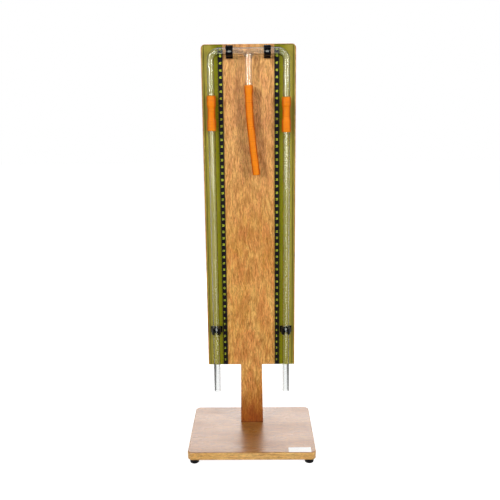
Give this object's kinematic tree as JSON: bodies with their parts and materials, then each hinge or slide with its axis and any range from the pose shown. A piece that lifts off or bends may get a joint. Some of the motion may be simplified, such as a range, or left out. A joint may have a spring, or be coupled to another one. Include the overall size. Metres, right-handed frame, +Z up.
{
  "type": "hare apparatus",
  "caption": "Free-standing board with glass tubes in front of two long scales, joined over the top by a glass tee with a suction hose, for comparing liquid densities.",
  "frame": {"origin": "on the surface that the feet stand on, under the centre of the base", "axes": "+Z up, front (tubes and scales) towards -Y, +X to the right as seen from the front"},
  "size_m": [0.195, 0.15, 0.6185],
  "materials": {
    "board_wood": "varnished, glossy",
    "base_wood": "varnished, glossy",
    "foot_rubber": "matte",
    "screw_steel": "zinc plated",
    "scale_sheet": "printed, glossy",
    "number_print": "printed, glossy",
    "glass": "clear",
    "orange_rubber": "matte",
    "clip_plastic": "gloss"
  },
  "bodies": {
    "root": {"backboard": "board_wood", "base_board": "base_wood", "front_left_foot": "foot_rubber", "front_right_foot": "foot_rubber", "rear_left_foot": "foot_rubber", "rear_right_foot": "foot_rubber", "foot_screws": "screw_steel", "neck_screws": "screw_steel", "clip_screws": "screw_steel", "left_scale": "scale_sheet", "right_scale": "scale_sheet", "left_number_band": "number_print", "right_number_band": "number_print", "glass_tee": "glass", "left_lower_tube": "glass", "right_lower_tube": "glass", "left_rubber_sleeve": "orange_rubber", "right_rubber_sleeve": "orange_rubber", "suction_hose": "orange_rubber", "upper_left_clip": "clip_plastic", "upper_right_clip": "clip_plastic", "lower_left_clip": "clip_plastic", "lower_right_clip": "clip_plastic"}
  },
  "joints": []
}
